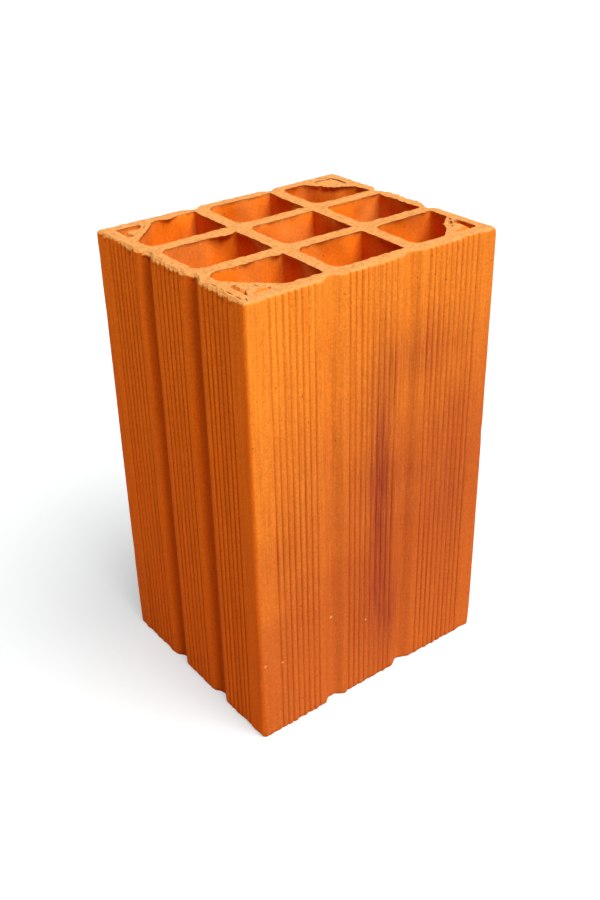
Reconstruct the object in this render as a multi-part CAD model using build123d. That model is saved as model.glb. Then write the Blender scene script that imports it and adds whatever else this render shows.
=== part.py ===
"""Hollow clay brick: one extruded and fired piece, standing on its cut end.

Millimetres, +Z up. The origin is at the middle of the lower cut end, X runs along the wide faces
and Y along the narrow ones.
"""
import os

from build123d import *

# Block
WIDTH = 180.0
DEPTH = 150.0
HEIGHT = 290.0
CORNER_R = 3.0
ARRIS = 0.8

# Shell, webs and cells; the core stood a little off centre in the die, and its webs lean.
# A cell's left corners are well rounded and its right ones nearly sharp.
SHELL_X = 8.5
SHELL_Y = 9.0
WEB_X = 8.0
WEB_Y = 8.5
WEB_SPACING_X = 57.0
WEB_SPACING_Y = 46.8
CORE_SHIFT_X = 3.5
CORE_LEAN = 0.04
CELL_R = 6.5
CELL_R_SHARP = 2.0

# Diagonal webs across the four corner cells, and the pockets behind them
CHAMFER_LEG = 25.0
DIAGONAL_WEB = 4.4
POCKET_R = 2.0

# Soft-rimmed channels down each face, two to a face; the round bottom takes that share of the width
CHANNEL_WIDTH = 16.0
CHANNEL_DEPTH = 3.8
CHANNEL_ROUND = 0.58
CHANNEL_SPACING_X = 57.5
CHANNEL_SPACING_Y = 46.5
CHANNEL_SHIFT_X = -4.5
CHANNEL_SHIFT_Y = -2.5

# Combing: fine V grooves in three bands a face
COMB_DEPTH = 0.8
COMB_WIDTH = 1.6
COMB_PITCH_X = 4.2
COMB_PITCH_Y = 4.4
COMB_MARGIN = 14.0
COMB_LIP = 2.5


def web_x(side, y):
    """Middle of the left (-1) or right (1) web at depth y."""
    return CORE_SHIFT_X + side * WEB_SPACING_X / 2 + CORE_LEAN * y


def column_walls(column, y):
    """Left and right wall of a column of cells (-1, 0 or 1) at depth y."""
    walls = [SHELL_X - WIDTH / 2]
    for side in (-1, 1):
        walls += [web_x(side, y) - WEB_X / 2, web_x(side, y) + WEB_X / 2]
    walls.append(WIDTH / 2 - SHELL_X)
    return walls[2 * column + 2], walls[2 * column + 3]


def row_walls(row):
    """Front and back wall of a row of cells (-1, 0 or 1)."""
    walls = [SHELL_Y - DEPTH / 2]
    for side in (-1, 1):
        walls += [side * WEB_SPACING_Y / 2 - WEB_Y / 2, side * WEB_SPACING_Y / 2 + WEB_Y / 2]
    walls.append(DEPTH / 2 - SHELL_Y)
    return walls[2 * row + 2], walls[2 * row + 3]


def cell(column, row):
    """One cell of the three by three; a corner cell loses its outer corner to the diagonal web."""
    front, back = row_walls(row)
    left_front, right_front = column_walls(column, front)
    left_back, right_back = column_walls(column, back)
    corners = [(left_front, front), (right_front, front), (right_back, back), (left_back, back)]
    if column and row:
        outer = {(-1, -1): 0, (1, -1): 1, (1, 1): 2, (-1, 1): 3}[column, row]
        x, y = corners[outer]
        slant = [(x - column * CHAMFER_LEG, y), (x, y - row * CHAMFER_LEG)]
        if column * row > 0:
            slant.reverse()
        corners[outer:outer + 1] = slant
    shape = make_face(Polyline(*corners, close=True))
    middle = shape.center().X
    shape = fillet([corner for corner in shape.vertices() if corner.X < middle], CELL_R)
    return fillet([corner for corner in shape.vertices() if corner.X > middle], CELL_R_SHARP)


def pocket(column, row):
    """The three-cornered pocket behind a diagonal web."""
    leg = CHAMFER_LEG - DIAGONAL_WEB * 2 ** 0.5
    x = column * (WIDTH / 2 - SHELL_X)
    y = row * (DEPTH / 2 - SHELL_Y)
    shape = make_face(Polyline((x, y), (x - column * leg, y), (x, y - row * leg), close=True))
    return fillet(shape.vertices(), POCKET_R)


def channel_edges(middle):
    """One channel's section: an eased shoulder, a round bottom and the other shoulder, each tangent to
    the next. Such arcs meet on the straight line from the rim to the deepest point."""
    rim = CHANNEL_WIDTH / 2
    turn = CHANNEL_ROUND * rim
    level = (1 - CHANNEL_ROUND) * CHANNEL_DEPTH
    left = TangentArc((middle - rim, 0), (middle - turn, level), tangent=(1, 0))
    bottom = ThreePointArc((middle - turn, level), (middle, CHANNEL_DEPTH), (middle + turn, level))
    right = TangentArc((middle + rim, 0), (middle + turn, level), tangent=(-1, 0))
    return [left, bottom, right]


def face_edges(length, spacing, shift, pitch):
    """One face from corner to corner, along the X axis with the clay above it: V comb grooves in three
    bands, and between them two channels that run smoothly in and out of the face."""
    lip = CHANNEL_WIDTH / 2 + COMB_LIP
    channels = (shift - spacing / 2, shift + spacing / 2)
    starts = (COMB_MARGIN - length / 2, channels[0] + lip, channels[1] + lip)
    ends = (channels[0] - lip, channels[1] - lip, length / 2 - COMB_MARGIN)
    edges = []
    points = [(CORNER_R - length / 2, 0)]
    for band, (start, end) in enumerate(zip(starts, ends)):
        gaps = int((end - start) / pitch)
        first = (start + end - gaps * pitch) / 2
        for line in range(gaps + 1):
            groove = first + line * pitch
            points += [(groove - COMB_WIDTH / 2, 0), (groove, COMB_DEPTH), (groove + COMB_WIDTH / 2, 0)]
        if band < len(channels):
            edges.append(Polyline(*points, (channels[band] - CHANNEL_WIDTH / 2, 0)))
            edges += channel_edges(channels[band])
            points = [(channels[band] + CHANNEL_WIDTH / 2, 0)]
    edges.append(Polyline(*points, (length / 2 - CORNER_R, 0)))
    return edges


def outline():
    """The block's outline: front and right faces with their corners, and the same again turned about."""
    front = face_edges(WIDTH, CHANNEL_SPACING_X, CHANNEL_SHIFT_X, COMB_PITCH_X)
    right = face_edges(DEPTH, CHANNEL_SPACING_Y, -CHANNEL_SHIFT_Y, COMB_PITCH_Y)
    corner_x = WIDTH / 2 - CORNER_R
    corner_y = DEPTH / 2 - CORNER_R
    half = [Pos(0, -DEPTH / 2) * edge for edge in front]
    half.append(CenterArc((corner_x, -corner_y), CORNER_R, 270, 90))
    half += [Pos(WIDTH / 2, 0) * Rot(0, 0, 90) * edge for edge in right]
    half.append(CenterArc((corner_x, corner_y), CORNER_R, 0, 90))
    return make_face(Curve() + half + [Rot(0, 0, 180) * edge for edge in half])


def section():
    """The die's section: the outline less cells and pockets."""
    cutters = []
    for column in (-1, 0, 1):
        for row in (-1, 0, 1):
            cutters.append(cell(column, row))
            if column and row:
                cutters.append(pocket(column, row))
    return outline() - cutters


def brick():
    """The section drawn out to the block's height, its cut edges dulled."""
    column = extrude(section(), HEIGHT)
    envelope = extrude(RectangleRounded(WIDTH, DEPTH, CORNER_R), HEIGHT)
    ends = envelope.faces().sort_by(Axis.Z)
    envelope = chamfer(ends[0].edges() + ends[-1].edges(), ARRIS)
    return column & envelope


os.makedirs("parts", exist_ok=True)
body = brick().solid()
body.label = "hollow_brick"
export_step(body, "parts/hollow_brick.step")
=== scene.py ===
"""Dresses the hollow clay brick: the fired block as one closed skin, and a pale stage with soft light."""

import math
from types import SimpleNamespace

import bpy
import numpy as np
from bpy.props import FloatProperty, FloatVectorProperty, PointerProperty, StringProperty
from mathutils import Matrix, Vector
from mathutils.geometry import delaunay_2d_cdt


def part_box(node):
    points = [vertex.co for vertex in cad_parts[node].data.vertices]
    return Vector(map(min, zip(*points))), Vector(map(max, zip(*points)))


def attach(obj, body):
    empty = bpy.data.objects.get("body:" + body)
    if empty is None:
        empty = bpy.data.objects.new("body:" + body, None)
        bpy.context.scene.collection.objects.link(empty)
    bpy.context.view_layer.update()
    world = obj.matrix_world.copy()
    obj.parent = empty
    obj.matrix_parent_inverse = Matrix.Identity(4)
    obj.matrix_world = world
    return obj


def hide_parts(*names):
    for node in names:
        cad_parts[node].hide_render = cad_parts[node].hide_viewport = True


bl_info = {
    "name": "Hollow clay brick",
    "version": (1, 0, 0),
    "blender": (4, 5, 0),
    "location": "3D View > Sidebar > Brick",
    "description": "Builds a wire-cut hollow clay brick and the stage it is seen on",
    "category": "Add Mesh",
}

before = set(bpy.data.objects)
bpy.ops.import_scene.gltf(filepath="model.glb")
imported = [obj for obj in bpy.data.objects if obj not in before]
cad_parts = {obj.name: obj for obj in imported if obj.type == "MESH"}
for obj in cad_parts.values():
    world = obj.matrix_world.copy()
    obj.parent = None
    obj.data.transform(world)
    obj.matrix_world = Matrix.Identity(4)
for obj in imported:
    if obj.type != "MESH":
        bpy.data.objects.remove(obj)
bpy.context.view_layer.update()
LOW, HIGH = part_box("hollow_brick")
MM = 0.001

# One seed for each noise, so that no two run alike
SEED = SimpleNamespace(
    channel=1, comb=2, wave=3, streak=4, corner=5, tooth=6, fine_tooth=7, foot=8, nick=9, burr=11,
    fine_burr=12, fold=13, bulge=14, dent=15, tongue=16, fine_tongue=17, slit=18, drag=21, crumb=22,
    upper_end=31, lower_end=33)


def length(name, description, default):
    """A length property, stored in metres and given here in millimetres."""
    return FloatProperty(name=name, description=description, default=default * MM, unit="LENGTH", precision=4)


def angle(name, description, default):
    """An angle property, stored in radians and given here in degrees."""
    return FloatProperty(name=name, description=description, default=math.radians(default), unit="ROTATION")


def colour(name, description, default):
    """A colour property, held as an sRGB hex value."""
    return StringProperty(name=name, description=description, default=default)


class BrickSize(bpy.types.PropertyGroup):
    """Sizes of the block's section and of the wear on it."""

    width: length("Width", "Along the wide faces", (HIGH[0] - LOW[0]) / MM)
    depth: length("Depth", "Along the narrow faces", (HIGH[1] - LOW[1]) / MM)
    height: length("Height", "Between the cut ends", (HIGH[2] - LOW[2]) / MM)
    corner: length("Corner radius", "Rounding of the four long edges", 2.4)
    shell_x: length("Side shell", "Thickness of the narrow faces' shell", 8.5)
    shell_y: length("Front shell", "Thickness of the wide faces' shell", 9.0)
    web_x: length("Long web", "Thickness of the webs that run front to back", 8.0)
    web_y: length("Cross web", "Thickness of the webs that run side to side", 8.5)
    web_spacing_x: length("Long web spacing", "Between the middles of the two long webs", 57.0)
    web_spacing_y: length("Cross web spacing", "Between the middles of the two cross webs", 46.8)
    core_shift: length("Core shift", "How far the core stood off the middle", 3.5)
    core_lean: FloatProperty(name="Core lean", description="Sideways drift of the long webs", default=0.04)
    cell_radius: length("Cell radius", "Rounding of the cells' left corners", 6.5)
    cell_sharp: length("Sharp cell radius", "Rounding of the cells' right corners", 1.0)
    chamfer: length("Chamfer", "What the diagonal web cuts off a corner cell", 25.0)
    diagonal: length("Diagonal web", "Thickness of the diagonal webs", 4.4)
    pocket_radius: length("Pocket radius", "Rounding of the corner pockets", 2.0)
    channel_width: length("Channel width", "Across a channel's rims", 16.0)
    channel_depth: length("Channel depth", "At the channel's middle", 3.8)
    channel_spacing_x: length("Wide channel spacing", "Between the channels of a wide face", 57.5)
    channel_spacing_y: length("Narrow channel spacing", "Between the channels of a narrow face", 46.5)
    channel_shift_x: length("Wide channel shift", "Off the front face's middle", -4.5)
    channel_shift_y: length("Narrow channel shift", "Off the left face's middle", -2.5)
    comb_depth: length("Comb depth", "Depth of one comb line", 0.8)
    comb_width: length("Comb width", "Width of one comb line", 1.7)
    comb_pitch_x: length("Wide comb pitch", "Between comb lines on the wide faces", 4.2)
    comb_pitch_y: length("Narrow comb pitch", "Between comb lines on the narrow faces", 4.4)
    comb_margin: length("Comb margin", "Plain clay beside the long edges", 14.0)
    comb_lip: length("Comb lip", "Plain clay beside a channel", 2.5)
    lip: length("Rim lip", "How far torn clay hangs down from the upper rim", 2.3)
    tear: length("Rim tear", "Depth of the tears under the hanging clay", 1.5)
    burr: length("Cell burr", "Reach of the burrs over the cells", 0.7)
    bulge: length("Wall bulge", "Unevenness of the cells' walls", 2.8)


class BrickClay(bpy.types.PropertyGroup):
    """Colours of the fired clay, as sRGB hex values."""

    # Upper and lower make a painted falloff of the light: lighter towards the upper end, darker and redder
    # towards the foot
    upper: colour("Upper clay", "Extruded skin near the upper end", "#EB8629")
    lower: colour("Lower clay", "Extruded skin near the lower end", "#C05E24")
    # Painted shade: the narrow faces, the seen one of which lies in shade, take this deeper, redder colour
    narrow: colour("Narrow faces", "Extruded skin of the narrow faces", "#E85D02")
    streak: colour("Streak", "Darker streaks that the die drew", "#B44A12")
    flash: colour("Firing flash", "Purple-brown flashes of the kiln", "#8C3222")
    # The comb colour is painted shade: in the comb lines' bottoms and under the torn lip, and along the foot,
    # where it is partly darker clay and partly painted contact shadow
    comb: colour("Comb line", "Bottom of the comb lines", "#962C00")
    inner: colour("Cell clay", "Walls of the cells", "#FA7A16")
    cut: colour("Cut clay", "Wire-cut ends", "#EAA15C")
    # The dark cut colour is painted shade in the hollows between the torn crumbs
    cut_shade: colour("Cut clay, dark grains", "Grog and pores of the cut ends", "#CC8440")
    # The pit colour is painted shade in the small pits
    pit: colour("Pit", "Small burnt pits", "#6A240A")
    chip: colour("Chip", "Pale chips and lime specks", "#F6CFA0")
    # The bead colour is a painted highlight on the clay rolled over the rim
    bead: colour("Rim bead", "Torn clay rolled over the rim", "#FFBC62")


class BrickStage(bpy.types.PropertyGroup):
    """Camera, light and floor."""

    camera_place: FloatVectorProperty(
        name="Camera place", description="Where the camera stands", default=(-0.3672, -0.4819, 0.4916),
        subtype="XYZ", unit="LENGTH", precision=4)
    yaw: angle("Yaw", "Turn from +Y to +X", 37.287)
    pitch: angle("Pitch", "Downward tilt", 30.021)
    roll: angle("Roll", "Turn about the line of sight", -1.278)
    lens: FloatProperty(name="Lens", description="Focal length in millimetres", default=43.236)
    key_from: FloatVectorProperty(
        name="Key from", description="Direction the key light comes from", default=(0.28, -0.96, 1.65),
        subtype="DIRECTION")
    key: FloatProperty(name="Key", description="Strength of the large key light", default=5.3)
    fill_from: FloatVectorProperty(
        name="Fill from", description="Direction the low fill light comes from", default=(-0.7, -0.7, 0.03),
        subtype="DIRECTION")
    fill: FloatProperty(name="Fill", description="Strength of the fill light", default=0.35)
    key_spread: angle("Key spread", "Angle that the key light fills", 50)
    fill_spread: angle("Fill spread", "Angle that the fill light fills", 6)
    sky: FloatProperty(name="Sky", description="Strength of the even light all round", default=0.05)
    floor: colour("Floor", "Paper the brick stands on", "#F5F8F8")
    glow: FloatProperty(
        name="Floor glow", description="Share of the floor's white that is lit from below", default=0.52)


def in_mm(group):
    """All values of a property group, its lengths in millimetres."""
    values = {}
    for name in group.__annotations__:
        unit = group.bl_rna.properties[name].unit
        values[name] = getattr(group, name) / (MM if unit == "LENGTH" else 1)
    return SimpleNamespace(**values)


# Odd multipliers that scatter a lattice point and a seed over the bits of a 32-bit word
SCATTER = np.array([374761393, 668265263, 1440662683])
SEED_SCATTER = 97531
STIR = 1274126177
WORD = 0xFFFFFFFF


def lattice_noise(points, seed):
    """Smooth noise from -1 to 1: a random value at each whole-number lattice point, blended with
    smoothstep weights between the eight that surround a point."""
    cell = np.floor(points).astype(np.int64)
    part = points - cell
    part = part * part * (3 - 2 * part)
    total = np.zeros(points.shape[:-1])
    for corner in np.ndindex(2, 2, 2):
        lattice = cell + np.array(corner)
        mixed = lattice @ SCATTER + seed * SEED_SCATTER
        mixed = ((mixed ^ (mixed >> 13)) * STIR) & WORD
        mixed = mixed ^ (mixed >> 16)
        weight = np.prod(np.where(corner, part, 1 - part), axis=-1)
        total += weight * (mixed / (WORD >> 1) - 1)
    return total


def grain(x, y, z, across, along, seed):
    """Noise in the block's own space, with that grain size in plan and along the height."""
    x, y, z = np.broadcast_arrays(x / across, y / across, z / along)
    return lattice_noise(np.stack([x, y, z], axis=-1), seed)


def plan_grain(x, y, across, seed):
    """The same noise at one level, where it changes in plan only."""
    return grain(x, y, 0 * x, across, 1.0, seed)


# Points that draw a rounded corner, and the millimetres of straight that a radian of it counts as
ARC_POINTS = 9
ARC_RUN = 9.0


def rounded_loop(corners, radius, count):
    """Closed counter-clockwise loop of points on a polygon with rounded corners: each corner is an arc
    tangent to its two sides, and the loop is straight between arcs. Points are evenly spaced along the
    straights, and each arc gets as many as ARC_RUN of straight for each radian it turns."""
    corners = np.asarray(corners, float)
    radius = np.broadcast_to(radius, len(corners))
    back = np.roll(corners, 1, 0) - corners
    ahead = np.roll(corners, -1, 0) - corners
    back /= np.linalg.norm(back, axis=1, keepdims=True)
    ahead /= np.linalg.norm(ahead, axis=1, keepdims=True)
    half = np.arccos(np.sum(back * ahead, axis=1)) / 2
    middle = back + ahead
    middle /= np.linalg.norm(middle, axis=1, keepdims=True)
    centre = corners + middle * (radius / np.sin(half))[:, None]
    start = corners + back * (radius / np.tan(half))[:, None] - centre
    swing = (math.pi - 2 * half)[:, None]
    bearing = np.arctan2(start[:, 1], start[:, 0])[:, None] + swing * np.linspace(0, 1, ARC_POINTS)
    arcs = centre[:, None] + radius[:, None, None] * np.stack([np.cos(bearing), np.sin(bearing)], axis=-1)
    path = arcs.reshape(-1, 2)
    path = np.vstack([path, path[:1]])
    step = np.linalg.norm(np.diff(path, axis=0), axis=1).reshape(-1, ARC_POINTS)
    step[:, :-1] = ARC_RUN * swing / (ARC_POINTS - 1)
    run = np.concatenate([[0], np.cumsum(step)])
    place = np.linspace(0, run[-1], count, endpoint=False)
    return np.stack([np.interp(place, run, path[:, 0]), np.interp(place, run, path[:, 1])], axis=1)


def inward(loop):
    """Unit vectors into a counter-clockwise loop, square to its run."""
    run = np.roll(loop, -1, 0) - np.roll(loop, 1, 0)
    run /= np.linalg.norm(run, axis=1, keepdims=True)
    return np.stack([-run[:, 1], run[:, 0]], axis=1)


def long_web(s, side, y):
    """Middle of the left (-1) or right (1) long web at depth y."""
    return s.core_shift + side * s.web_spacing_x / 2 + s.core_lean * y


def column_walls(s, column, y):
    """Left and right wall of a column of cells at depth y."""
    walls = [s.shell_x - s.width / 2]
    for side in (-1, 1):
        walls += [long_web(s, side, y) - s.web_x / 2, long_web(s, side, y) + s.web_x / 2]
    walls.append(s.width / 2 - s.shell_x)
    return walls[2 * column + 2], walls[2 * column + 3]


def row_walls(s, row):
    """Front and back wall of a row of cells."""
    walls = [s.shell_y - s.depth / 2]
    for side in (-1, 1):
        walls += [(side * s.web_spacing_y - s.web_y) / 2, (side * s.web_spacing_y + s.web_y) / 2]
    walls.append(s.depth / 2 - s.shell_y)
    return walls[2 * row + 2], walls[2 * row + 3]


def cell_corners(s, column, row):
    """Corners of one cell, counter-clockwise; a corner cell has its outer corner cut off."""
    front, back = row_walls(s, row)
    left_front, right_front = column_walls(s, column, front)
    left_back, right_back = column_walls(s, column, back)
    corners = [(left_front, front), (right_front, front), (right_back, back), (left_back, back)]
    if column and row:
        outer = {(-1, -1): 0, (1, -1): 1, (1, 1): 2, (-1, 1): 3}[column, row]
        x, y = corners[outer]
        slant = [(x - column * s.chamfer, y), (x, y - row * s.chamfer)]
        corners[outer:outer + 1] = slant[::-1] if column * row > 0 else slant
    return corners


def pocket_corners(s, column, row):
    """Corners of the three-cornered pocket behind a diagonal web, counter-clockwise."""
    leg = s.chamfer - s.diagonal * math.sqrt(2)
    x = column * (s.width / 2 - s.shell_x)
    y = row * (s.depth / 2 - s.shell_y)
    corners = [(x, y), (x - column * leg, y), (x, y - row * leg)]
    return corners if column * row > 0 else corners[::-1]


# Samples of a face: how far apart the even ones stand, how clear of those of channels and comb lines,
# and how many draw a channel
SAMPLE_STEP = 2.0
SAMPLE_CLEAR = 0.5
CHANNEL_SAMPLES = 17

# Power of the cosine that shapes a channel, and the shade painted in it in shares of its width: shift and
# half width
CHANNEL_POWER = 1.7
CHANNEL_SHADE_SHIFT = -0.08
CHANNEL_SHADE_WIDTH = 0.28


def face_profile(s, side, spacing, shift, pitch):
    """Samples along one face, with the depth of its channels, the share of its comb lines and the shade
    painted in its channels there.

    A channel is a cosine to a power, which runs softly out of the face and is round at its bottom, its
    painted shade a bell a little to one side of it, and a comb line is a V. Samples stand evenly, and also at
    the edges and the bottom of each V, and closely over each channel."""
    channels = np.array([shift - spacing / 2, shift + spacing / 2])
    lip = s.channel_width / 2 + s.comb_lip
    starts = np.array([s.comb_margin - side / 2, channels[0] + lip, channels[1] + lip])
    ends = np.array([channels[0] - lip, channels[1] - lip, side / 2 - s.comb_margin])
    gaps = ((ends - starts) / pitch).astype(int)
    firsts = (starts + ends - gaps * pitch) / 2
    lines = np.concatenate([first + pitch * np.arange(gap + 1) for first, gap in zip(firsts, gaps)])
    reach = side / 2 - s.corner
    over = np.linspace(-0.5, 0.5, CHANNEL_SAMPLES)
    t = np.concatenate([
        [-reach, reach], (channels[:, None] + over * s.channel_width).ravel(),
        (lines[:, None] + np.array([-0.5, -0.25, 0, 0.25, 0.5]) * s.comb_width).ravel()])
    between = np.arange(-reach, reach, SAMPLE_STEP)
    between = between[np.abs(between[:, None] - t).min(axis=1) > SAMPLE_CLEAR]
    t = np.sort(np.concatenate([t, between]))
    off = (t[:, None] - channels) / s.channel_width
    dip = np.cos(math.pi * np.clip(np.abs(off).min(axis=1), 0, 0.5))
    channel = s.channel_depth * dip ** CHANNEL_POWER
    # Painted shade in the channels: a bell a little to one side of each channel's middle
    channel_shade = np.exp(-((off - CHANNEL_SHADE_SHIFT) / CHANNEL_SHADE_WIDTH) ** 2).max(axis=1)
    comb = np.clip(1 - np.abs(t[:, None] - lines).min(axis=1) / (s.comb_width / 2), 0, 1)
    return t, channel, comb, channel_shade


def outline(s):
    """The block's outline, counter-clockwise: plan points, outward normals, channel depth, comb share
    and painted channel shade. Two faces and two corner arcs are worked out, the other half is the same turned
    about."""
    front, front_channel, front_comb, front_channel_shade = face_profile(
        s, s.width, s.channel_spacing_x, s.channel_shift_x, s.comb_pitch_x)
    right, right_channel, right_comb, right_channel_shade = face_profile(
        s, s.depth, s.channel_spacing_y, -s.channel_shift_y, s.comb_pitch_y)
    turn = np.linspace(0, math.pi / 2, 9)[1:-1]
    arc = np.stack([np.sin(turn), -np.cos(turn)], axis=1)
    next_arc = np.stack([np.cos(turn), np.sin(turn)], axis=1)
    middle = np.array([s.width / 2 - s.corner, s.depth / 2 - s.corner])
    points = np.vstack([
        np.stack([front, np.full_like(front, -s.depth / 2)], axis=1),
        middle * (1, -1) + arc * s.corner,
        np.stack([np.full_like(right, s.width / 2), right], axis=1),
        middle + next_arc * s.corner])
    normals = np.vstack([
        np.tile([0.0, -1.0], (len(front), 1)), arc, np.tile([1.0, 0.0], (len(right), 1)), next_arc])
    plain = np.zeros(len(turn))
    channel = np.concatenate([front_channel, plain, right_channel, plain])
    comb = np.concatenate([front_comb, plain, right_comb, plain])
    channel_shade = np.concatenate([front_channel_shade, plain, right_channel_shade, plain])
    return (np.vstack([points, -points]), np.vstack([normals, -normals]),
            np.tile(channel, 2), np.tile(comb, 2), np.tile(channel_shade, 2))


def end_height(s, x, y):
    """Height of the upper cut end: the wire's drag in long shallow waves, then coarse and fine grains,
    all below the block's full height."""
    drag = 0.2 * (1 + plan_grain(x + 0.6 * y, y - 0.6 * x, 9.0, SEED.drag))
    crumb = 0.14 * (1 + plan_grain(x, y, 2.2, SEED.crumb))
    return s.height - drag - crumb


# Flashes the kiln left on the front face: x, z, half width, half height, strength
FLASHES = (
    (3.0, 150.0, 8.0, 95.0, 0.75),
    (34.0, 228.0, 30.0, 16.0, 0.4),
    (0.0, 60.0, 22.0, 42.0, 0.4),
    (60.0, 120.0, 16.0, 70.0, 0.25),
    (20.0, 150.0, 70.0, 62.0, 0.36),
    (14.0, 46.0, 9.0, 32.0, 0.45),
)

# Chips knocked off the front face: x, depth in it, z, radius
CHIPS = (
    (-33.0, 3.6, 65.5, 1.0),
    (-7.5, 0.0, 52.5, 1.1),
    (-86.5, 0.0, 57.5, 0.9),
    (-74.0, 0.0, 53.5, 1.0),
)

# Clay that the wire folded over a cell, or bit out where the reach is below 0: x, y, reach, spread
BURRS = (
    (-37.0, 17.0, 3.4, 7.0),
    (-34.5, -28.5, 3.6, 2.0),
    (-46.0, 64.0, 3.0, 4.0),
    (41.0, 14.0, -2.6, 3.0),
    (66.0, 50.0, 4.0, 11.0),
    (72.0, -50.0, 1.6, 6.0),
    (-66.0, 52.0, 1.2, 6.0),
)

# Tongues of clay that the wire drew from the diagonal web over a pocket: share closed, place of the
# tongue's middle along the web from -1 to 1, half width, how deep it sank
TONGUES = {
    (-1, -1): (0.95, 0.05, 0.8, 2.1),
    (-1, 1): (0.8, 0.2, 0.5, 2.5),
    (1, -1): (0.9, -0.1, 0.7, 3.0),
    (1, 1): (0.8, 0.0, 0.9, 0.0),
}

# Slits torn in the upper end: x, y, half length, half width, turn in degrees, depth
SLITS = (
    (-86.3, -43.5, 2.8, 0.4, 90, 3.0),
    (-86.4, -51.0, 2.2, 0.35, 93, 3.0),
    (-86.2, -57.5, 3.0, 0.45, 88, 3.0),
    (-86.3, -65.5, 2.6, 0.4, 90, 3.0),
    (-84.6, -70.0, 1.8, 0.4, 70, 2.5),
    (-86.3, -13.0, 2.0, 0.3, 88, 2.5),
    (-86.3, 8.0, 2.4, 0.3, 91, 2.5),
    (-69.8, -58.0, 2.5, 0.35, -78, 3.0),
    (-77.9, -50.2, 1.2, 0.4, -45, 2.5),
    (-65.2, 60.6, 2.6, 0.6, 45, 4.0),
    (75.0, -50.8, 2.8, 1.35, 45, 14.0),
    (79.4, -45.8, 2.0, 0.9, 48, 12.0),
    (70.6, -56.6, 1.3, 0.5, 45, 4.0),
    (77.0, 69.5, 3.0, 0.5, -8, 3.0),
)


# Points round a cell and a pocket low down, and how many times finer their rims are
CELL_POINTS = 60
POCKET_POINTS = 24
FINER = 4

# Points in the cut ends: how far apart they stand, and how clear of the rims
UPPER_GRID = (1.4, 0.7)
LOWER_GRID = (4.0, 1.5)

# Distance from a cell's corner over which its wall's bulge grows to the full
BULGE_EASE = 8.0

# Edges that turn more than this stay sharp
SHARP_TURN = math.radians(48)


class Skin:
    """The growing mesh: vertices in millimetres, faces, and the vertex values the clay reads."""

    NAMES = ("cut", "comb", "channel", "inside", "flash", "narrow", "bead")

    def __init__(self):
        self.points = []
        self.values = []
        self.faces = []
        self.count = 0

    def add(self, points, **values):
        """Stores a grid of points and returns its grid of indices."""
        size = points.shape[:-1]
        number = int(np.prod(size))
        self.points.append(points.reshape(-1, 3))
        columns = [np.broadcast_to(values.get(name, 0.0), size).ravel() for name in self.NAMES]
        self.values.append(np.stack(columns, axis=1))
        index = self.count + np.arange(number).reshape(size)
        self.count += number
        return index

    def wrap(self, index, outward):
        """Quads of a closed tube, rows from the top down."""
        right = np.roll(index, -1, axis=1)
        quads = np.stack([index[1:], right[1:], right[:-1], index[:-1]], axis=-1).reshape(-1, 4)
        self.faces.extend((quads if outward else quads[:, ::-1]).tolist())

    def collar(self, fine, coarse):
        """Faces that join a fine ring to a coarse ring below it, facing into the tube."""
        step = len(fine) // len(coarse)
        place = (np.arange(len(coarse))[:, None] * step + np.arange(step + 1)) % len(fine)
        faces = np.concatenate([fine[place], np.roll(coarse, -1)[:, None], coarse[:, None]], axis=1)
        self.faces.extend(faces.tolist())

    def flat(self, rings, ring_points, inner, heights, upward):
        """Fills between an outer ring and the rings of the holes in it, with more points inside."""
        coords = np.vstack([*ring_points, inner])
        index = np.concatenate([*rings, self.add(np.column_stack([inner, heights]), cut=1.0)])
        edges = []
        first = 0
        for ring in ring_points:
            here = first + np.arange(len(ring))
            edges.extend(np.stack([here, np.roll(here, -1)], axis=1).tolist())
            first += len(ring)
        found = delaunay_2d_cdt([Vector(c) for c in coords.tolist()], edges, [], 0, 1e-6)
        if len(found[0]) != len(coords):
            raise RuntimeError("the rings of a cut end cross each other")
        source = np.array([origin[0] for origin in found[3]])
        faces = source[np.array(found[2])]
        middle = coords[faces].mean(axis=1)
        faces = faces[in_clay(middle, ring_points)]
        a, b, c = (coords[faces[:, k]] for k in range(3))
        turn = (b[:, 0] - a[:, 0]) * (c[:, 1] - a[:, 1]) - (b[:, 1] - a[:, 1]) * (c[:, 0] - a[:, 0])
        faces = np.where(((turn > 0) == upward)[:, None], faces, faces[:, ::-1])
        self.faces.extend(index[faces].tolist())

    def mesh(self, name):
        """The finished mesh, in metres."""
        mesh = bpy.data.meshes.new(name)
        mesh.from_pydata((np.vstack(self.points) * MM).tolist(), [], self.faces)
        values = np.vstack(self.values)
        for column, label in enumerate(self.NAMES):
            layer = mesh.attributes.new(label, "FLOAT", "POINT")
            layer.data.foreach_set("value", np.ascontiguousarray(values[:, column], dtype=np.float32))
        mesh.shade_smooth()
        mesh.set_sharp_from_angle(angle=SHARP_TURN)
        return mesh


def inside_ring(points, ring):
    """Which points a ring encloses: those whose ray along X crosses it an odd number of times."""
    following = np.roll(ring, -1, 0)
    x, y = points[:, 0:1], points[:, 1:2]
    spans = (ring[:, 1] > y) != (following[:, 1] > y)
    rise = following[:, 1] - ring[:, 1]
    rise = np.where(rise == 0, 1e-12, rise)
    meets = ring[:, 0] + (y - ring[:, 1]) * (following[:, 0] - ring[:, 0]) / rise
    return np.sum(spans & (x < meets), axis=1) % 2 == 1


def in_clay(points, rings):
    """Which points lie in the outer ring and in none of the holes."""
    keep = inside_ring(points, rings[0])
    for ring in rings[1:]:
        keep &= ~inside_ring(points, ring)
    return keep


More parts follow.
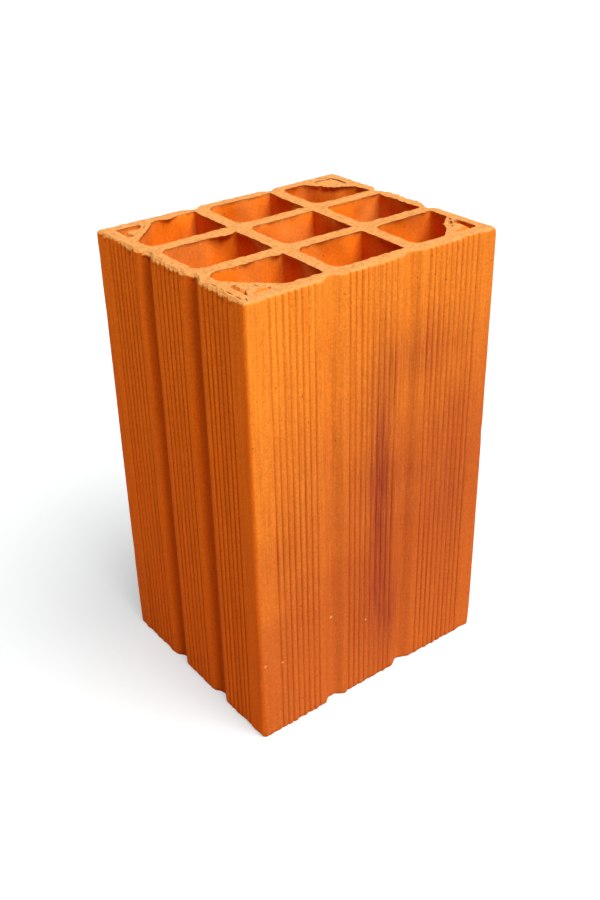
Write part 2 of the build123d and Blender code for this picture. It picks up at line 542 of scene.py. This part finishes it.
def spread(s, rings, step, clear, seed):
    """Points for the inside of a cut end: a square grid, each moved by noise, kept clear of the rings."""
    along = np.arange(-s.width / 2, s.width / 2, step)
    across = np.arange(-s.depth / 2, s.depth / 2, step)
    x, y = np.meshgrid(along, across)
    x, y = x.ravel(), y.ravel()
    fine = 0.37 * step
    points = np.stack([
        x + 0.35 * step * plan_grain(x, y, fine, seed),
        y + 0.35 * step * plan_grain(x, y, fine, seed + 1)], axis=1)
    points = points[in_clay(points, rings)]
    for ring in rings:
        gap = np.sqrt(((points[:, None] - ring) ** 2).sum(axis=2)).min(axis=1)
        points = points[gap > clear]
    return points


def torn_rim(s, x, y, below, comb, narrow):
    """The lip of torn clay under the upper rim: its hang, and as shares the comb line that it covers, the
    slope from the rim down to its end, and the tear below it.

    The hang is coarse and fine noise, in full teeth on the narrow faces and half as long over a comb
    line. The slope falls evenly from one at the rim to nothing at the lip's end, and the tear is a bell
    a little under that."""
    tooth = 0.45 + 0.6 * plan_grain(x, y, 3.4, SEED.tooth) + 0.5 * plan_grain(x, y, 1.3, SEED.fine_tooth)
    tooth = np.clip(tooth, 0, 1.4)
    hang = s.lip * (0.3 + (0.35 + 0.65 * narrow) * tooth) * (1 - 0.5 * comb)
    cover = np.clip((hang - below) / 0.5 + 0.5, 0, 1)
    slope = np.clip(1 - below / hang, 0, 1)
    torn = narrow * np.clip(tooth - 0.3, 0, 1) * np.exp(-((below - hang - 0.9) / 0.8) ** 2)
    return hang, cover, slope, torn


def kiln_flash(x, z, normal):
    """Share of the flame's flashes: bells about the places of FLASHES on the front face, and weaker ones,
    turned about, on the back."""
    flash = np.zeros(np.broadcast_shapes(x.shape, z.shape))
    for at_x, at_z, wide, tall, strength in FLASHES:
        level = np.exp(-((z - at_z) / tall) ** 2)
        flash += strength * level * np.exp(-((x - at_x) / wide) ** 2) * (normal[:, 1] < -0.5)
        flash += 0.7 * strength * level * np.exp(-((x + at_x) / wide) ** 2) * (normal[:, 1] > 0.5)
    return np.clip(flash, 0, 1)


def outer_skin(skin, s):
    """The block's outside: the outline carried up the height and pushed in by the channels, the comb
    lines, the die's streaks, the torn rim, a ragged foot and worn long edges. Returns its two end rings."""
    plan, normal, channel, comb, channel_shade = outline(s)
    under_rim = [0, 0.3, 0.7, 1.1, 1.5, 1.9, 2.4, 2.9, 3.5, 4.4, 6.0, 8.5, 12.0]
    over_foot = np.array([6.5, 4.0, 2.4, 1.2, 0.5, 0.0])
    below = np.concatenate([under_rim, np.linspace(17, s.height - 10, 30), s.height - over_foot])[:, None]
    x, y = plan[:, 0], plan[:, 1]
    z = s.height - below
    narrow = np.abs(normal[:, 0])
    hang, cover, slope, torn = torn_rim(s, x, y, below, comb, narrow)
    lines = comb * (0.85 + 0.4 * grain(x, y, z, 14.0, 45.0, SEED.comb)) * (1 - 0.8 * cover)
    foot = np.clip(0.6 + 0.8 * plan_grain(x, y, 3.0, SEED.foot), 0, 1.3) * np.exp(-z / 1.1)
    nick = np.clip(0.3 + plan_grain(x, y, 2.2, SEED.nick), 0, 1) * np.exp(-below)

    # Comb lines, long waves and streaks, then both ends' dulled edges, and the lip with its tears
    sink = s.comb_depth * lines
    sink += 0.2 * (1 + grain(x, y, z, 42.0, 110.0, SEED.wave))
    sink += 0.1 * (1 + grain(x, y, z, 2.0, 55.0, SEED.streak))
    sink += (0.6 - 0.35 * narrow) * np.exp(-below / 0.6) + 0.7 * nick
    sink += 0.5 * np.exp(-z / 1.3) + 1.1 * foot
    sink += np.minimum(0.9 * hang, 1.7) * slope + s.tear * torn
    sink = np.minimum(sink, 2.3) + channel * (1 + 0.08 * grain(x, y, z, 30.0, 60.0, SEED.channel))
    # Knocks along the long edges, and their rounding at the foot
    corner = np.clip(np.minimum(narrow, np.abs(normal[:, 1])) * 2, 0, 1)
    knock = 0.9 * np.clip(grain(x, y, z, 20.0, 13.0, SEED.corner) - 0.25, 0, 1)
    sink += corner * (knock + 0.8 * np.exp(-z / 9))
    sink = np.where(corner > 0, np.minimum(sink, 0.85 * s.corner), sink)

    top = end_height(s, x, y)
    z = z - (s.height - top) * np.exp(-below / 4)
    z[-1] = 0
    points = np.stack(np.broadcast_arrays(x - normal[:, 0] * sink, y - normal[:, 1] * sink, z), axis=-1)
    # comb paints shade in the comb lines, a painted shadow under the lip's tears, and along the foot a dark
    # edge that is partly darker clay and partly painted contact shadow
    index = skin.add(
        # channel holds the painted shade in the narrow faces' channels
        points, narrow=narrow, channel=narrow * channel_shade, comb=lines + 0.9 * torn + 1.5 * foot,
        cut=np.maximum(np.sqrt(slope), np.exp(-below / 0.35)), flash=kiln_flash(x, z, normal),
        # bead holds a painted highlight on the lip of torn clay
        bead=narrow * np.clip(1 - np.abs(slope - 0.35) / 0.35, 0, 1))
    skin.wrap(index, True)
    return (index[0], points[0]), (index[-1], points[-1])


def room(loop, corners):
    """Distance of each point of a loop from the nearest corner of its polygon."""
    return np.linalg.norm(loop[:, None] - np.asarray(corners), axis=2).min(axis=1)


def cell_rim(s, loop, clear):
    """How far each point of a cell's upper rim moves in plan: ragged noise over the mouth, and folds or
    bites near the places of BURRS, each a bell about its place. Near a corner, clear keeps it short."""
    x, y = loop[:, 0], loop[:, 1]
    reach = 0.35 + 0.6 * plan_grain(x, y, 4.0, SEED.burr) + 0.6 * plan_grain(x, y, 1.4, SEED.fine_burr)
    reach = s.burr * np.clip(reach, 0, None)
    ragged = np.clip(0.8 + 0.5 * plan_grain(x, y, 1.6, SEED.fold), 0, 1.3)
    for at_x, at_y, far, wide in BURRS:
        reach = reach + far * ragged * np.exp(-((x - at_x) ** 2 + (y - at_y) ** 2) / wide ** 2)
    return inward(loop) * np.clip(reach, -2.6, 0.6 * clear)[:, None]


def pocket_rim(s, column, row, loop):
    """How far each point of a pocket's upper rim moves in plan: a tongue grows from the diagonal web
    towards the outer corner, as a share of the room there, over a bell along the web."""
    share, place, wide = TONGUES[column, row][:3]
    leg = s.chamfer - s.diagonal * math.sqrt(2)
    side = (s.width / 2 - s.shell_x - column * loop[:, 0]) / leg
    end = (s.depth / 2 - s.shell_y - row * loop[:, 1]) / leg
    along = end - side
    space = (side + end - np.abs(along)) * leg / 2
    x, y = loop[:, 0], loop[:, 1]
    ragged = 0.9 + 0.25 * plan_grain(x, y, 3.0, SEED.tongue) + 0.2 * plan_grain(x, y, 1.2, SEED.fine_tongue)
    draw = share * space * np.clip(ragged, 0, 1.15) * np.exp(-((along - place) / wide) ** 4)
    draw = np.clip(draw - 0.3, 0, None)
    return np.stack([column * draw, row * draw], axis=1)


def hole_skin(skin, s, loop, rim, bulge, sunk=0.0):
    """A cell or pocket: its loop carried up the height, with walls that bulge by noise, as much at each
    point as bulge gives, and an upper rim moved by rim. The move is largest sunk below the end, and a
    bell about that depth carries it. The lower part has fewer points. Returns its end rings."""
    normal = inward(loop)
    thick = 1.0 + 0.25 * np.linalg.norm(rim, axis=1)

    def walls(pick, below):
        """Rows of the wall at those depths below the upper end."""
        x, y = loop[pick, 0], loop[pick, 1]
        z = s.height - below
        swell = grain(x, y, z, 17.0, 40.0, SEED.bulge) + 0.45 * grain(x, y, z, 8.0, 12.0, SEED.dent)
        swell = bulge[pick] * swell * (1 - np.exp(-below / 5)) * (1 - np.exp(-z / 9))
        fold = np.exp(-((below - sunk) / thick[pick]) ** 2)
        qx = x + normal[pick, 0] * swell + rim[pick, 0] * fold
        qy = y + normal[pick, 1] * swell + rim[pick, 1] * fold
        drop = s.height - end_height(s, qx[0], qy[0])
        z = np.where(below >= s.height, 0.0, z - drop * np.exp(-below / 4))
        return np.stack([qx, qy, z], axis=-1)

    near = np.array([0, 0.4, 0.9, 1.6, 2.6, 4.0, 6.0, 9.0, 13.0])[:, None]
    far = np.concatenate([np.linspace(18, s.height - 8, 24), s.height - np.array([3.0, 0.0])])[:, None]
    upper = walls(np.arange(len(loop)), near)
    lower = walls(np.arange(0, len(loop), FINER), far)
    high = skin.add(upper, cut=np.exp(-near / 0.35), inside=1 - np.exp(-near / 1.2))
    low = skin.add(lower, inside=1.0)
    skin.wrap(high, False)
    skin.collar(high[-1], low[0])
    skin.wrap(low, False)
    return (high[0], upper[0]), (low[-1], lower[-1])


def slit_skin(skin, s, x, y, long, wide, turn, depth):
    """A slit torn in the upper end: an ellipse with a ragged edge that narrows on its way down and
    closes in a point. Returns its upper ring."""
    way = np.linspace(0, 2 * math.pi, 20, endpoint=False)
    run = np.array([math.cos(math.radians(turn)), math.sin(math.radians(turn))])
    across = np.array([-run[1], run[0]])
    ragged = 1 + 0.3 * plan_grain(30 * np.cos(way) + x, 30 * np.sin(way) + y, 11.0, SEED.slit)
    shape = np.outer(long * np.cos(way), run) + np.outer(wide * ragged * np.sin(way), across)
    level = np.array([0.0, 0.3, 0.6, 0.85])[:, None, None]
    plan = np.array([x, y]) + shape * (1 - level ** 2)
    z = end_height(s, plan[0, :, 0], plan[0, :, 1]) - depth * level[..., 0]
    points = np.concatenate([plan, z[..., None]], axis=-1)
    index = skin.add(points, cut=1 - level[..., 0], inside=level[..., 0])
    skin.wrap(index, False)
    tip = skin.add(np.array([[x, y, s.height - depth - 0.4]]), inside=1.0)[0]
    last = index[-1]
    fan = np.stack([np.roll(last, -1), last, np.full(len(last), tip)], axis=1)
    skin.faces.extend(fan[:, ::-1].tolist())
    return index[0], points[0]


def block_mesh(s):
    """The whole brick as one closed mesh: outside, cells, pockets, slits and the two cut ends. A hole's rim
    has FINER points for each one lower down."""
    skin = Skin()
    ends = [outer_skin(skin, s)]
    for column, row in np.ndindex(3, 3):
        column, row = column - 1, row - 1
        corners = cell_corners(s, column, row)
        middle = np.mean(corners, axis=0)[0]
        radii = [s.cell_radius if x < middle else s.cell_sharp for x, y in corners]
        loop = rounded_loop(corners, radii, CELL_POINTS * FINER)
        clear = room(loop, corners)
        bulge = s.bulge * np.clip(clear / BULGE_EASE, 0, 1)
        ends.append(hole_skin(skin, s, loop, cell_rim(s, loop, clear), bulge))
        if column and row:
            corners = pocket_corners(s, column, row)
            loop = rounded_loop(corners, s.pocket_radius, POCKET_POINTS * FINER)
            bulge = 0.4 * s.bulge * np.clip(room(loop, corners) / BULGE_EASE, 0, 1)
            sunk = TONGUES[column, row][3]
            ends.append(hole_skin(skin, s, loop, pocket_rim(s, column, row, loop), bulge, sunk))
    rings = [top for top, under in ends] + [slit_skin(skin, s, *slit) for slit in SLITS]
    plan = [points[:, :2] for index, points in rings]
    inner = spread(s, plan, *UPPER_GRID, SEED.upper_end)
    skin.flat([index for index, points in rings], plan, inner, end_height(s, inner[:, 0], inner[:, 1]), True)
    rings = [under for top, under in ends]
    plan = [points[:, :2] for index, points in rings]
    inner = spread(s, plan, *LOWER_GRID, SEED.lower_end)
    skin.flat([index for index, points in rings], plan, inner, np.zeros(len(inner)), False)
    return skin.mesh("hollow_brick_clay")


def linear(code):
    """An sRGB hex value as a linear RGBA colour."""
    values = [int(code[k:k + 2], 16) / 255 for k in (1, 3, 5)]
    return tuple(v / 12.92 if v <= 0.04045 else ((v + 0.055) / 1.055) ** 2.4 for v in values) + (1.0,)


def add_node(tree, kind, links, out=0, **settings):
    """Adds a node with its settings and returns one of its outputs, or the node. links gives each input
    another node's output or a value."""
    node = tree.nodes.new(kind)
    for name, value in settings.items():
        setattr(node, name, value)
    for name, source in links.items():
        if isinstance(source, bpy.types.NodeSocket):
            tree.links.new(source, node.inputs[name])
        else:
            node.inputs[name].default_value = source
    return node if out is None else node.outputs[out]


def per_metre(size):
    """How many grains of that size in millimetres a metre holds, which is a pattern's scale."""
    return 1 / (size * MM)


def clay_material(c):
    """Fired clay, extruded through a die and wire-cut, unglazed.

    To the eye: a dull, open skin with no gloss, drawn in fine streaks along the height, yellower and
    lighter towards the upper end and redder and darker below, a painted falloff of the light, in clouds;
    purple-brown where the flame touched it; pale and sandy where the wire cut it."""
    material = bpy.data.materials.new("fired_clay_extruded")
    material.use_nodes = True
    tree = material.node_tree
    tree.nodes.clear()
    noise, span, maths, blend = "ShaderNodeTexNoise", "ShaderNodeMapRange", "ShaderNodeMath", "ShaderNodeMix"
    place = add_node(tree, "ShaderNodeTexCoord", {}, "Object")
    share = {}
    for name in Skin.NAMES:
        share[name] = add_node(tree, "ShaderNodeAttribute", {}, "Fac", attribute_name=name)

    # Streaks of the die, about 1.5 mm across and 70 mm long, and hair streaks of 0.6 mm
    streak_scale = (per_metre(1.53846), per_metre(1.53846), per_metre(71.4286))
    drawn = add_node(tree, "ShaderNodeMapping", {"Vector": place, "Scale": streak_scale})
    streak = add_node(tree, noise, {"Vector": drawn, "Scale": 1.0, "Detail": 4.0, "Roughness": 0.6})
    hair = add_node(tree, noise, {"Vector": drawn, "Scale": 2.6, "Detail": 2.0, "Roughness": 0.6})
    # Clouds of uneven firing, about 30 mm across
    cloud_scale = per_metre(31.25)
    cloud = add_node(tree, noise, {"Vector": place, "Scale": cloud_scale, "Detail": 4.0, "Roughness": 0.55})
    # Sand grains of 0.4 to 1.4 mm, coarser than real so that they show
    sand_scale = per_metre(1.42857)
    sand = add_node(tree, noise, {"Vector": place, "Scale": sand_scale, "Detail": 3.0, "Roughness": 0.75})
    # Torn crumbs of the cut ends, 2 to 3 mm
    crumb_scale = per_metre(2.38095)
    crumb = add_node(tree, noise, {"Vector": place, "Scale": crumb_scale, "Detail": 5.0, "Roughness": 0.7})

    # Painted light falloff: yellower and lighter above and towards -X, redder and darker below and towards
    # +X, in clouds of uneven firing
    apart = add_node(tree, "ShaderNodeSeparateXYZ", {"Vector": place}, None)
    rise = add_node(tree, maths, {0: cloud, 1: 0.12, 2: apart.outputs["Z"]}, operation="MULTIPLY_ADD")
    rise = add_node(tree, maths, {0: apart.outputs["X"], 1: -0.5, 2: rise}, operation="MULTIPLY_ADD")
    rise = add_node(tree, span, {"Value": rise, "From Min": 0.16, "From Max": 0.36})
    shade = add_node(tree, blend, {0: rise, 6: linear(c.lower), 7: linear(c.upper)}, 2, data_type="RGBA")
    # Painted shade: the narrow faces take the deeper, redder colour of the shaded side
    side = add_node(tree, maths, {0: share["narrow"], 1: 0.72}, operation="MULTIPLY")
    shade = add_node(tree, blend, {0: side, 6: shade, 7: linear(c.narrow)}, 2, data_type="RGBA")
    # The die: streaks and hairs; painted shade in the comb lines, more on the narrow faces, under the torn
    # lip and in the narrow faces' channels, and a dark foot that is partly darker clay and partly painted
    # contact shadow
    drag = add_node(tree, span, {"Value": streak, "From Min": 0.45, "From Max": 0.72, "To Max": 0.45})
    shade = add_node(tree, blend, {0: drag, 6: shade, 7: linear(c.streak)}, 2, data_type="RGBA")
    fine = add_node(tree, span, {"Value": hair, "From Min": 0.5, "From Max": 0.75, "To Max": 0.3})
    shade = add_node(tree, blend, {0: fine, 6: shade, 7: linear(c.streak)}, 2, data_type="RGBA")
    shade_and_grime = add_node(tree, maths, {0: share["channel"], 1: 0.72}, operation="MULTIPLY")
    deep = add_node(tree, maths, {0: share["narrow"], 1: 0.65, 2: 0.35}, operation="MULTIPLY_ADD")
    shade_and_grime = add_node(tree, maths, {0: share["comb"], 1: deep, 2: shade_and_grime}, operation="MULTIPLY_ADD")
    shade = add_node(tree, blend, {0: shade_and_grime, 6: shade, 7: linear(c.comb)}, 2, data_type="RGBA")
    # The flame: flashes broken up along the hair streaks
    broken = add_node(tree, span, {"Value": hair, "From Min": 0.3, "From Max": 0.65, "To Min": 0.35})
    burnt = add_node(tree, maths, {0: share["flash"], 1: broken}, operation="MULTIPLY")
    shade = add_node(tree, blend, {0: burnt, 6: shade, 7: linear(c.flash)}, 2, data_type="RGBA")
    # The cells' walls, with paler clouds mixed in
    within = add_node(tree, maths, {0: share["inside"], 1: 0.85}, operation="MULTIPLY")
    shade = add_node(tree, blend, {0: within, 6: shade, 7: linear(c.inner)}, 2, data_type="RGBA")
    pale_cloud = add_node(tree, span, {"Value": cloud, "From Min": 0.45, "From Max": 0.68, "To Max": 0.3})
    pale_cloud = add_node(tree, maths, {0: pale_cloud, 1: share["inside"]}, operation="MULTIPLY")
    shade = add_node(tree, blend, {0: pale_cloud, 6: shade, 7: linear(c.cut)}, 2, data_type="RGBA")

    # Pits: one in some of the 4 mm cubes of clay, about 0.7 mm wide and drawn out along the height, painted
    # dark as the shade in them
    long_place = add_node(tree, "ShaderNodeMapping", {"Vector": place, "Scale": (1.0, 1.0, 0.55)})
    pit_scale = per_metre(4.16667)
    pits = add_node(tree, "ShaderNodeTexVoronoi", {"Vector": long_place, "Scale": pit_scale}, None)
    chance = add_node(tree, "ShaderNodeSeparateColor", {"Color": pits.outputs["Color"]}, "Red")
    chance = add_node(tree, span, {"Value": chance, "From Min": 0.66, "From Max": 0.68, "To Max": 0.7})
    pit = add_node(tree, span, {
        "Value": pits.outputs["Distance"], "From Min": 0.05, "From Max": 0.11, "To Min": 1.0, "To Max": 0.0})
    pit = add_node(tree, maths, {0: pit, 1: chance}, operation="MULTIPLY")
    shade = add_node(tree, blend, {0: pit, 6: shade, 7: linear(c.pit)}, 2, data_type="RGBA")
    # Chips: pale fresh clay where the front face was knocked
    ragged = add_node(tree, maths, {0: crumb, 1: 0.002}, operation="MULTIPLY")
    for x, depth, z, radius in CHIPS:
        spot = (x * MM, LOW[1] + depth * MM, z * MM)
        away = add_node(tree, "ShaderNodeVectorMath", {0: place, 1: spot}, "Value", operation="DISTANCE")
        away = add_node(tree, maths, {0: away, 1: ragged}, operation="ADD")
        edge = {"From Min": (radius + 0.5) * MM, "From Max": (radius + 1.0) * MM}
        chip = add_node(tree, span, {"Value": away, **edge, "To Min": 0.5, "To Max": 0.0})
        shade = add_node(tree, blend, {0: chip, 6: shade, 7: linear(c.chip)}, 2, data_type="RGBA")

    # The cut ends: pale sandy clay, darker in the hollows among the crumbs as painted shade
    dark = add_node(tree, span, {
        "Value": crumb, "From Min": 0.3, "From Max": 0.55, "To Min": 1.0, "To Max": 0.0})
    sandy = add_node(tree, blend, {0: dark, 6: linear(c.cut), 7: linear(c.cut_shade)}, 2, data_type="RGBA")
    shade = add_node(tree, blend, {0: share["cut"], 6: shade, 7: sandy}, 2, data_type="RGBA")
    # Painted highlight on the beads of clay rolled over the rim
    bead = add_node(tree, maths, {0: share["bead"], 1: 0.8}, operation="MULTIPLY")
    shade = add_node(tree, blend, {0: bead, 6: shade, 7: linear(c.bead)}, 2, data_type="RGBA")
    # Sand in all of it, fainter in the cells
    faint = add_node(tree, maths, {0: share["inside"], 1: 0.08, 2: 0.74}, operation="MULTIPLY_ADD")
    speck = add_node(tree, span, {
        "Value": sand, "From Min": 0.3, "From Max": 0.7, "To Min": faint, "To Max": 1.06})
    shade = add_node(tree, "ShaderNodeVectorMath", {0: shade, "Scale": speck}, operation="SCALE")

    # Relief: streaks and sand everywhere, crumbs on the cut ends, pits sunk
    relief = add_node(tree, maths, {0: streak, 1: 0.5}, operation="MULTIPLY")
    relief = add_node(tree, maths, {0: sand, 1: 0.35, 2: relief}, operation="MULTIPLY_ADD")
    torn = add_node(tree, maths, {0: crumb, 1: share["cut"]}, operation="MULTIPLY")
    relief = add_node(tree, maths, {0: torn, 1: 1.6, 2: relief}, operation="MULTIPLY_ADD")
    relief = add_node(tree, maths, {0: pit, 1: -0.8, 2: relief}, operation="MULTIPLY_ADD")
    normal = add_node(tree, "ShaderNodeBump", {"Height": relief, "Strength": 0.7, "Distance": 0.6 * MM})
    shader = add_node(tree, "ShaderNodeBsdfPrincipled", {
        "Base Color": shade, "Roughness": 0.95, "IOR": 1.5, "Specular IOR Level": 0.02, "Normal": normal})
    add_node(tree, "ShaderNodeOutputMaterial", {"Surface": shader}, None)
    return material


class BRICK_OT_block(bpy.types.Operator):
    """Builds the fired block in place of its plain solid"""

    bl_idname = "brick.block"
    bl_label = "Clay block"

    def execute(self, context):
        scene = context.scene
        mesh = block_mesh(in_mm(scene.brick_size))
        piece = bpy.data.objects.new("hollow_brick_clay", mesh)
        scene.collection.objects.link(piece)
        mesh.materials.append(clay_material(scene.brick_clay))
        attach(piece, "root")
        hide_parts("hollow_brick")
        return {"FINISHED"}


# Floor and backdrop, in metres
FLOOR_REACH = 8.0
WALL_RADIUS = 7.9
WALL_HEIGHT = 7.0
WALL_SIDES = 64


class BRICK_OT_stage(bpy.types.Operator):
    """Lays the floor, puts up the backdrop and the two lights, and sets up the camera"""

    bl_idname = "brick.stage"
    bl_label = "Stage"

    def execute(self, context):
        scene = context.scene
        look = scene.brick_stage
        self.floor(scene, look)
        self.backdrop(scene)
        self.lights(scene, look)
        self.camera(scene, look)
        scene.view_settings.view_transform = "Standard"
        return {"FINISHED"}

    def lights(self, scene, look):
        """A faint even light, and two large lamps far off, the key and the low fill."""
        world = bpy.data.worlds.new("even_white_light")
        world.use_nodes = True
        world.node_tree.nodes["Background"].inputs["Color"].default_value = (1.0, 0.985, 0.97, 1.0)
        world.node_tree.nodes["Background"].inputs["Strength"].default_value = look.sky
        scene.world = world
        for name in ("key", "fill"):
            lamp = bpy.data.lights.new(name + "_light", "SUN")
            lamp.energy = getattr(look, name)
            lamp.angle = getattr(look, name + "_spread")
            place = getattr(look, name + "_from")
            holder = bpy.data.objects.new(lamp.name, lamp)
            holder.rotation_euler = Vector(place).to_track_quat("Z", "Y").to_euler()
            scene.collection.objects.link(holder)

    def camera(self, scene, look):
        """The camera, turned by yaw and pitch and then rolled about its line of sight."""
        camera = bpy.data.cameras.new("camera")
        camera.lens = look.lens
        camera.sensor_width = 36.0
        camera.clip_start = 0.01
        level = math.cos(look.pitch)
        ahead = Vector((math.sin(look.yaw) * level, math.cos(look.yaw) * level, -math.sin(look.pitch)))
        turn = ahead.to_track_quat("-Z", "Y").to_matrix() @ Matrix.Rotation(look.roll, 3, "Z")
        holder = bpy.data.objects.new("camera", camera)
        holder.matrix_world = Matrix.Translation(look.camera_place) @ turn.to_4x4()
        scene.collection.objects.link(holder)
        scene.camera = holder

    def floor(self, scene, look):
        """Matt white paper, lit from below so that it stays nearly white in the shade. The light that it
        throws back fills the brick's shaded sides."""
        mesh = bpy.data.meshes.new("floor")
        corners = [(x * FLOOR_REACH, y * FLOOR_REACH, 0) for x, y in ((-1, -1), (1, -1), (1, 1), (-1, 1))]
        mesh.from_pydata(corners, [], [(0, 1, 2, 3)])
        paper = bpy.data.materials.new("white_paper")
        paper.use_nodes = True
        shader = paper.node_tree.nodes["Principled BSDF"]
        white = linear(look.floor)[:3]
        shader.inputs["Base Color"].default_value = tuple((1 - look.glow) * v for v in white) + (1.0,)
        shader.inputs["Roughness"].default_value = 1.0
        shader.inputs["Specular IOR Level"].default_value = 0.0
        shader.inputs["Emission Color"].default_value = white + (1.0,)
        shader.inputs["Emission Strength"].default_value = look.glow
        mesh.materials.append(paper)
        floor = bpy.data.objects.new("floor", mesh)
        scene.collection.objects.link(floor)

    def backdrop(self, scene):
        """A round white wall, far off, which closes the view above the floor: a ring carried straight up.
        Only the camera sees it, so it gives no light and no shadow."""
        turn = np.linspace(0, 2 * math.pi, WALL_SIDES, endpoint=False)
        ring = WALL_RADIUS * np.stack([np.cos(turn), np.sin(turn), 0 * turn], axis=1)
        low = np.arange(WALL_SIDES)
        high = low + WALL_SIDES
        mesh = bpy.data.meshes.new("backdrop")
        faces = np.stack([np.roll(low, -1), low, high, np.roll(high, -1)], axis=1)
        mesh.from_pydata(np.vstack([ring, ring + (0, 0, WALL_HEIGHT)]).tolist(), [], faces.tolist())
        white = bpy.data.materials.new("white_wall")
        white.use_nodes = True
        shader = white.node_tree.nodes["Principled BSDF"]
        shader.inputs["Base Color"].default_value = (0.0, 0.0, 0.0, 1.0)
        shader.inputs["Specular IOR Level"].default_value = 0.0
        shader.inputs["Emission Color"].default_value = (1.0, 1.0, 1.0, 1.0)
        shader.inputs["Emission Strength"].default_value = 1.0
        mesh.materials.append(white)
        wall = bpy.data.objects.new("backdrop", mesh)
        wall.visible_diffuse = False
        wall.visible_glossy = False
        wall.visible_shadow = False
        scene.collection.objects.link(wall)


class BRICK_PT_sidebar(bpy.types.Panel):
    """Lists the brick's steps and its sizes"""

    bl_idname = "BRICK_PT_sidebar"
    bl_label = "Hollow clay brick"
    bl_space_type = "VIEW_3D"
    bl_region_type = "UI"
    bl_category = "Brick"

    def draw(self, context):
        layout = self.layout
        for operator in (BRICK_OT_block, BRICK_OT_stage):
            layout.operator(operator.bl_idname)
        for group in (context.scene.brick_size, context.scene.brick_clay, context.scene.brick_stage):
            box = layout.box()
            for name in group.__annotations__:
                box.prop(group, name)


CLASSES = (BrickSize, BrickClay, BrickStage, BRICK_OT_block, BRICK_OT_stage, BRICK_PT_sidebar)


def register():
    for item in CLASSES:
        bpy.utils.register_class(item)
    bpy.types.Scene.brick_size = PointerProperty(type=BrickSize)
    bpy.types.Scene.brick_clay = PointerProperty(type=BrickClay)
    bpy.types.Scene.brick_stage = PointerProperty(type=BrickStage)


def unregister():
    for name in ("brick_stage", "brick_clay", "brick_size"):
        delattr(bpy.types.Scene, name)
    for item in reversed(CLASSES):
        bpy.utils.unregister_class(item)


def main():
    """Builds the block and the stage."""
    register()
    bpy.ops.brick.block()
    bpy.ops.brick.stage()


if __name__ == "__main__":
    main()
